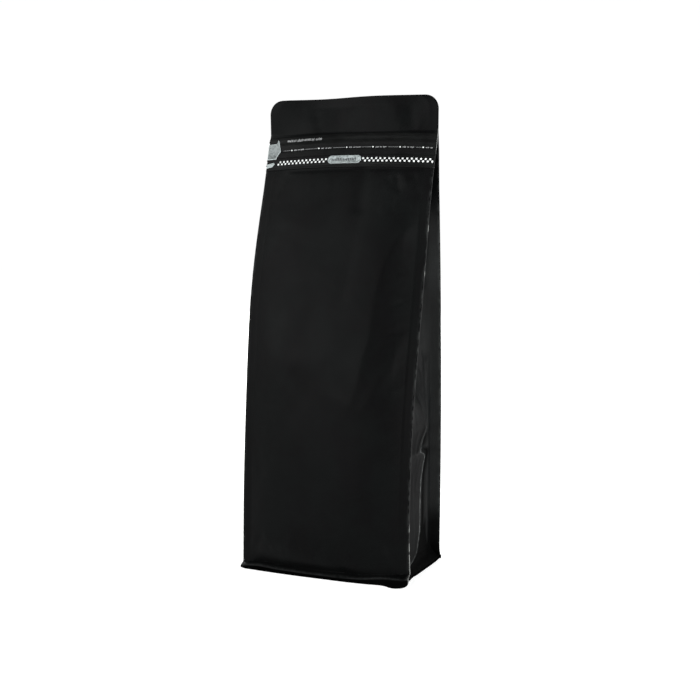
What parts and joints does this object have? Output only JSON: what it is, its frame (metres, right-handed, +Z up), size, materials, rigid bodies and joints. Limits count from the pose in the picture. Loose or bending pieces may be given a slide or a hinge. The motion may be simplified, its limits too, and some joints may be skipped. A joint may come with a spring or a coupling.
{
  "type": "flat-bottom pouch",
  "caption": "Tall black film pouch, shut and full, with pleated sides, corner seal fins, a flat base and a plastic tear tape across the front under its closed top band.",
  "frame": {"origin": "middle of the base, on the floor", "axes": "+Z up the pouch, -Y out of the front panel with the tear tape, +X to the right seen from the front"},
  "size_m": [0.13, 0.0927, 0.341],
  "materials": {
    "film": "satin black laminated film with a soft sheen and a lighter worn line along its cut edges",
    "tape": "smoother black plastic, slightly glossy, with a white two-row check, dots and dashes",
    "silver": "satin silver print on plastic"
  },
  "bodies": {
    "root": {"film_body": "film", "tear_tape": "tape", "pull_tab": "silver", "end_mark": "silver", "pill_plate": "silver"}
  },
  "joints": []
}
